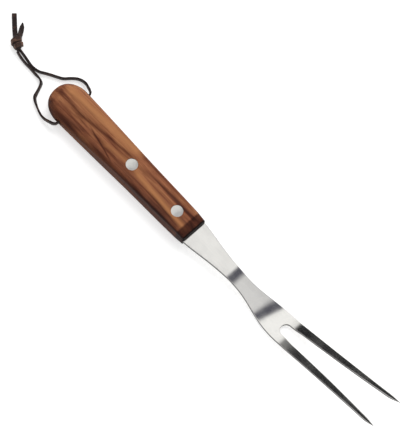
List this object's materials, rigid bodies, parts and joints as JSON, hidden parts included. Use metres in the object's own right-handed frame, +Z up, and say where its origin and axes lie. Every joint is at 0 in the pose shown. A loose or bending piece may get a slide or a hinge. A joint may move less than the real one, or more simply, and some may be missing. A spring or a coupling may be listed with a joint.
{
  "type": "carving fork",
  "caption": "Carving fork with a cranked steel blade drawn into long tapered tines, a riveted hardwood handle with a round butt, and a knotted leather hanging loop that swings.",
  "frame": {"origin": "on the surface that the fork lies on, under the middle of its length and width, the leather lace left out", "axes": "+X along the fork from the butt to the points of the tines, +Y across it, +Z up from its back to its front"},
  "size_m": [0.3625, 0.0381, 0.0308],
  "materials": {
    "handle_wood": "oiled reddish brown hardwood with dark streaks along the grain",
    "blade_steel": "finely ground stainless steel, the grinding lines along the fork",
    "rivet_metal": "polished rivet heads with fine scratches",
    "lace_leather": "dark brown flat leather lace with raw edges"
  },
  "bodies": {
    "fork": {"handle": "handle_wood", "fork_blade": "blade_steel", "rear_rivet_sleeve": "rivet_metal", "rear_rivet_pin": "rivet_metal", "front_rivet_sleeve": "rivet_metal", "front_rivet_pin": "rivet_metal"},
    "loop": {"lace_upper_arm": "lace_leather", "lace_lower_arm": "lace_leather", "lace_knot": "lace_leather", "lace_long_tail": "lace_leather", "lace_short_tail": "lace_leather"}
  },
  "joints": [
    {"name": "loop_swing", "type": "hinge", "parent": "fork", "child": "loop", "pos_m": [-0.135, 0, 0.007], "axis": [0, 1, 0], "range_deg": [-135, 165]}
  ]
}
